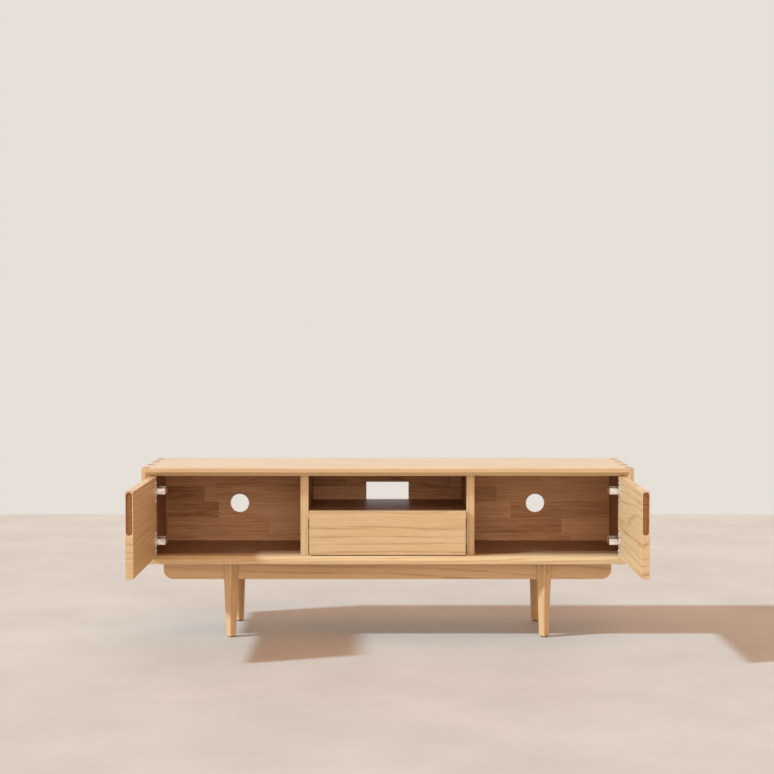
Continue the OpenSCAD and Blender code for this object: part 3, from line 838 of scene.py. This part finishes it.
for side in SIDES:
    for node in ("hinge_cups", "hinge_links", "hinge_arms", "hinge_plates"):
        eased_copy(f"{node}_{side}", f"nickel_{node}_{side}", every_edge(PRESSED_EDGE),
                   nickel, segments=2)
    for node in ("slide_outer", "slide_middle", "slide_inner"):
        eased_copy(f"{node}_{side}", f"zinc_{node}_{side}", every_edge(PRESSED_EDGE),
                   zinc, segments=2)
    for node in ("cup_screws", "plate_screws"):
        screws_for(f"{node}_{side}", zinc_bright)
for node in ("back_panel_screws", "leg_screws", "frame_screws",
             "slide_screws_outer", "slide_screws_inner"):
    screws_for(node, zinc_bright)
eased_copy("foot_glides", "felt_foot_glides", every_edge(FELT_EDGE), pad_felt)


# --- Floor, light and camera ---------------------------------------------------------------------

def floor_material():
    """Pale matt floor with faint clouds."""
    graph = Graph(bpy.data.materials.new("pale_floor"))
    place = graph.object_mm()
    clouds = graph.noise(place, FLOOR_CLOUDS, detail=6.0, roughness=0.6)
    shade = graph.remap(clouds, *NOISE_SPAN, *FLOOR_SHADES)
    shades = graph.joined(shade, shade, shade)
    colour = graph.mix(1.0, (*FLOOR_COLOUR, 1.0), shades, blend="MULTIPLY")
    graph.put(graph.shader.inputs["Base Color"], colour)
    graph.shader.inputs["Roughness"].default_value = FLOOR_ROUGHNESS
    return graph.owner


def add_floor():
    """A flat floor whose far end is where the wall begins."""
    far = FRONT_Y + FLOOR_REACH
    near = FRONT_Y - FLOOR_NEAR
    data = bpy.data.meshes.new("floor")
    outline = [(-FLOOR_HALF_WIDTH, near, 0), (FLOOR_HALF_WIDTH, near, 0),
               (FLOOR_HALF_WIDTH, far, 0), (-FLOOR_HALF_WIDTH, far, 0)]
    data.from_pydata(outline, [], [(0, 1, 2, 3)])
    data.materials.append(floor_material())
    link("floor", data)


def add_world():
    """A wall for the camera, and for the light a warm room, a neutral backdrop and a softbox."""
    world = bpy.data.worlds.new("studio")
    graph = Graph(world, "Background")
    direction = graph.add("TexCoord", output="Generated")
    behind = graph.remap(graph.split(direction)[1], *BACKDROP_FADE)
    towards_box = graph.add("VectorMath", {0: direction, 1: SOFTBOX_DIRECTION}, output=1,
                            operation="DOT_PRODUCT")
    in_front = graph.remap(towards_box, *SOFTBOX_FADE)
    colour = graph.mix(behind, (*AMBIENT_COLOUR, 1.0), (*BACKDROP_COLOUR, 1.0))
    colour = graph.mix(in_front, colour, (*SOFTBOX_COLOUR, 1.0))
    seen = graph.add("LightPath", output="Is Camera Ray")
    colour = graph.mix(seen, colour, (*WALL_COLOUR, 1.0))
    graph.put(graph.shader.inputs["Color"], colour)
    bpy.context.scene.world = world


def add_sun():
    """The key light, from the left, in front and above."""
    sun = bpy.data.lights.new("key", "SUN")
    sun.energy = SUN_STRENGTH
    sun.color = SUN_COLOUR
    sun.angle = SUN_SPREAD
    lamp = link("key", sun)
    lamp.rotation_mode = "QUATERNION"
    lamp.rotation_quaternion = Vector(SUN_DIRECTION).to_track_quat("-Z", "Y")


def add_camera():
    """A camera in front of the middle, tipped down a little."""
    data = bpy.data.cameras.new("camera")
    data.lens = CAMERA_LENS
    camera = link("camera", data)
    camera.location = (CAMERA_X, FRONT_Y - CAMERA_DISTANCE, CAMERA_HEIGHT)
    camera.rotation_euler = (math.pi / 2 - CAMERA_PITCH, 0, 0)
    bpy.context.scene.camera = camera


add_floor()
add_world()
add_sun()
add_camera()
bpy.context.scene.view_settings.view_transform = "Standard"
